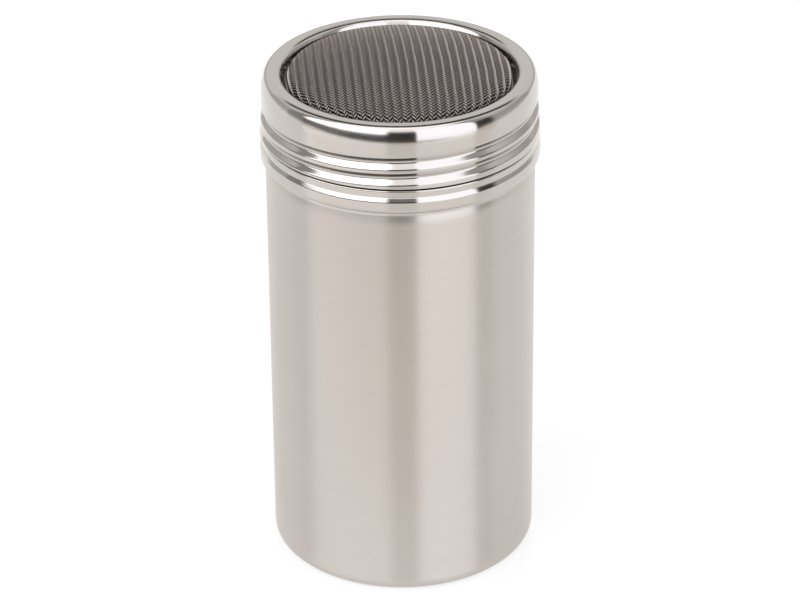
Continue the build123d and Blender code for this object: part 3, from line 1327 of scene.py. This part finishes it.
@dataclass
class Studio:
    """Pale floor, soft lights and the camera.

    Attributes:
        camera_distance: from the camera to the point that it looks at.
        camera_elevation: how far it looks down.
        camera_pan: small turn of the camera to its side.
        camera_tilt: small turn of the camera upwards.
        camera_roll: small turn about its own line of sight.
        aim_height: height of the point that it looks at.
        lens: focal length, in millimetres.
        sensor: sensor width, in millimetres.
        floor_half: half the floor's width, and how far it reaches behind the shaker.
        floor_front: its front edge, past which the dark room shows in the metal.
        floor_gap: how far it lies under the foot.
        floor_near: sRGB hex of the floor round the shaker.
        floor_far_shade: sRGB hex of the floor well in front of it, a little darker and warmer, as painted
            shade.
        floor_fade: where its colour starts to change towards the front, and where it has changed.
        floor_glow: share of its brightness that doesn't depend on the lights.
        floor_roughness: of its sheen.
        floor_ior: of its sheen.
        shade_radius: radius of the full shade under the foot.
        shade_edge: width of that shade's soft edge.
        room: sRGB hex of the room between the lights.
        boxes: the lights, each over those before it.
    """

    camera_distance: float = 917.3 * MM
    camera_elevation: float = math.radians(28.599)
    camera_pan: float = math.radians(0.026)
    camera_tilt: float = math.radians(0.048)
    camera_roll: float = math.radians(0.536)
    aim_height: float = 65.0 * MM
    lens: float = 163.6
    sensor: float = 36.0
    floor_half: float = 1600.0 * MM
    floor_front: float = -520.0 * MM
    floor_gap: float = 0.02 * MM
    floor_near: str = "fcfcfc"
    floor_far_shade: str = "f5f1ec"
    floor_fade: tuple[float, float] = (-45.0 * MM, -120.0 * MM)
    floor_glow: float = 0.78
    floor_roughness: float = 0.12
    floor_ior: float = 1.45
    shade_radius: float = 29.0 * MM
    shade_edge: float = 3.0 * MM
    room: str = "3a3938"
    boxes: tuple[SoftBox, ...] = (
        SoftBox(azimuth=180.0, half_width=54.0, low=-12.0, high=38.0, strength=0.64, tint="fefdfc"),
        SoftBox(azimuth=180.0, half_width=54.0, low=14.0, high=38.0, strength=0.90, edge=10.0, tint="fefdfc"),
        SoftBox(azimuth=105.0, half_width=25.0, low=-12.0, high=64.0, strength=0.52, edge=8.0),
        SoftBox(azimuth=105.0, half_width=25.0, low=28.0, high=64.0, strength=0.82, edge=16.0),
        SoftBox(azimuth=-113.0, half_width=18.0, low=-12.0, high=64.0, strength=0.58, edge=8.0),
        SoftBox(azimuth=-113.0, half_width=18.0, low=28.0, high=64.0, strength=0.86, edge=16.0),
        SoftBox(azimuth=-92.0, half_width=9.0, low=-12.0, high=60.0, strength=0.35),
        SoftBox(azimuth=-64.0, half_width=20.0, low=-12.0, high=20.0, strength=0.17, edge=24.0),
        SoftBox(azimuth=1.5, half_width=13.5, low=28.0, high=74.0, strength=1.36, edge=8.0),
        SoftBox(azimuth=-47.5, half_width=36.5, low=13.0, high=62.0, strength=2.60, edge=6.0, tint="f8f9ff"),
        SoftBox(azimuth=72.0, half_width=11.0, low=22.0, high=60.0, strength=0.45, edge=8.0),
        SoftBox(azimuth=38.0, half_width=25.0, low=-10.0, high=62.0, strength=1.95, edge=2.0, tint="f6f7ff"),
        SoftBox(azimuth=0.0, half_width=180.0, low=64.0, high=90.0, strength=1.80, edge=6.0, behind=103.0),
    )

    def build(self) -> None:
        """Sets up the studio."""
        self._camera()
        self._floor()
        self._surroundings()
        bpy.context.scene.view_settings.view_transform = "Standard"

    def _camera(self) -> None:
        """The camera in front of the shaker, looking down on it."""
        back = Vector((0.0, -math.cos(self.camera_elevation), math.sin(self.camera_elevation)))
        right = Vector((1.0, 0.0, 0.0))
        up = back.cross(right)
        turned = (
            Matrix.Rotation(self.camera_roll, 3, -back)
            @ Matrix.Rotation(self.camera_tilt, 3, right)
            @ Matrix.Rotation(self.camera_pan, 3, up)
        )
        axes = Matrix((turned @ right, turned @ up, turned @ back)).transposed()
        place = Vector((0.0, 0.0, self.aim_height)) + back * self.camera_distance
        data = bpy.data.cameras.new("camera")
        data.lens = self.lens
        data.sensor_width = self.sensor
        made = add_object("camera", data)
        made.matrix_world = Matrix.LocRotScale(place, axes.to_quaternion(), None)
        bpy.context.scene.camera = made

    def _floor(self) -> None:
        """A pale floor with a soft sheen."""
        half, front, height = self.floor_half, self.floor_front, -self.floor_gap
        data = bpy.data.meshes.new("floor")
        corners = [(-half, front, height), (half, front, height), (half, half, height), (-half, half, height)]
        data.from_pydata(corners, [], [(0, 1, 2, 3)])
        data.materials.append(self._floor_finish())
        add_object("floor", data)

    def _floor_finish(self) -> bpy.types.Material:
        """White round the shaker, a little darker and warmer well in front of it as painted shade, and shaded
        under its foot.

        Returns:
            The material.
        """
        made = bpy.data.materials.new("pale_floor")
        tree = emptied(made)
        place = add_node(tree, "ShaderNodeTexCoord")["Object"]
        away = add_node(tree, VECTOR_MATH, (place,), operation="LENGTH")["Value"]
        forwards = add_node(tree, SEPARATE, (place,))[1]
        shade_end = self.shade_radius + self.shade_edge
        clear, fade = (
            add_node(tree, MAP_RANGE, limits, interpolation_type="SMOOTHSTEP")[0]
            for limits in ((away, self.shade_radius, shade_end), (forwards, *self.floor_fade))
        )
        # The floor well in front is painted a little darker and warmer, as painted shade.
        near, far = linear(self.floor_near), linear(self.floor_far_shade)
        lit, glow = (
            add_node(
                tree,
                MIX,
                {"Factor": fade, COLOUR_A: scaled(near, share), COLOUR_B: scaled(far, share)},
                data_type="RGBA",
            )[COLOUR_RESULT]
            for share in (1 - self.floor_glow, 1.0)
        )
        inputs = {
            "Base Color": lit,
            "Roughness": self.floor_roughness,
            "IOR": self.floor_ior,
            "Emission Color": glow,
            "Emission Strength": add_node(tree, MATH, (clear, self.floor_glow), operation="MULTIPLY")[0],
        }
        shader = add_node(tree, "ShaderNodeBsdfPrincipled", inputs)
        add_node(tree, "ShaderNodeOutputMaterial", {"Surface": shader[0]})
        return made

    def _surroundings(self) -> None:
        """The dim room and its soft lights."""
        world = bpy.data.worlds.new("studio")
        bpy.context.scene.world = world
        tree = emptied(world)
        x, y, z = add_node(tree, SEPARATE, (add_node(tree, "ShaderNodeTexCoord")["Generated"],))
        forwards = add_node(tree, MATH, (y, -1.0), operation="MULTIPLY")[0]
        angles = (
            add_node(tree, MATH, (x, forwards), operation="ARCTAN2")[0],
            add_node(tree, MATH, (z,), operation="ARCSINE")[0],
            add_node(tree, MATH, (z, forwards), operation="ARCTAN2")[0],
        )
        directions = [add_node(tree, MATH, (angle,), operation="DEGREES")[0] for angle in angles]
        total: Any = linear(self.room)
        for box in self.boxes:
            total = self._light(tree, box, directions, total)
        shader = add_node(tree, "ShaderNodeBackground", {"Color": total, "Strength": 1.0})
        add_node(tree, "ShaderNodeOutputWorld", {"Surface": shader[0]})

    def _light(self, tree: Tree, box: SoftBox, directions: Sequence[Socket], below: Any) -> Socket:
        """Adds one soft light to the surroundings.

        Args:
            tree: the world's node tree.
            box: the light.
            directions: the direction round the axis, the height over the horizon, and the direction in the
                plane from the front over the zenith to the back.
            below: colour of the surroundings so far.

        Returns:
            Their colour with the light.
        """
        azimuth, elevation, tipped = directions
        edge = box.edge / 2
        limits = [(elevation, box.low - edge, box.low + edge)]
        if box.high < ZENITH:
            limits.append((elevation, box.high + edge, box.high - edge))
        if box.behind < HALF_TURN:
            limits.append((tipped, box.behind + edge, box.behind - edge))
        if box.half_width < HALF_TURN:
            turn = add_node(tree, MATH, (azimuth, box.azimuth), operation="SUBTRACT")[0]
            wrapped = add_node(tree, MATH, (turn, HALF_TURN, -HALF_TURN), operation="WRAP")[0]
            aside = add_node(tree, MATH, (wrapped,), operation="ABSOLUTE")[0]
            limits.append((aside, box.half_width + edge, box.half_width - edge))
        mask: Any = 1.0
        for limit in limits:
            inside = add_node(tree, MAP_RANGE, limit, interpolation_type="SMOOTHSTEP")[0]
            mask = add_node(tree, MATH, (mask, inside), operation="MULTIPLY")[0]
        colours = {"Factor": mask, COLOUR_A: below, COLOUR_B: scaled(linear(box.tint), box.strength)}
        return add_node(tree, MIX, colours, data_type="RGBA")[COLOUR_RESULT]


# ---- Main ----


def settle(piece: bpy.types.Object, body: str, slot: Slot, *nodes: str) -> None:
    """Lets a piece ride on its body, and hides the CAD nodes that it stands for.

    Args:
        piece: the finished piece.
        body: the CAD body that carries it.
        slot: the record's material slot; not used.
        nodes: CAD nodes that the piece stands for.
    """
    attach(piece, body)
    if nodes:
        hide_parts(*nodes)
    log.info("%s rides on %s: %d faces", piece.name, body, len(piece.data.polygons))


def main() -> None:
    """Builds the shaker and its studio."""
    logging.basicConfig(level=logging.INFO, format="%(name)s: %(message)s")
    helix = Helix()
    settle(Container(helix).build(), "can", Slot.BRUSHED, "container")
    settle(Lid(helix).build(), "lid", Slot.POLISHED, "lid_shell")
    settle(RetainingRing().build(), "ring", Slot.RING, "retaining_ring")
    warp, weft = Screen().build()
    settle(warp, "lid", Slot.CLOTH, "screen")
    settle(weft, "lid", Slot.CLOTH, "screen")
    Studio().build()


if __name__ == "__main__":
    main()
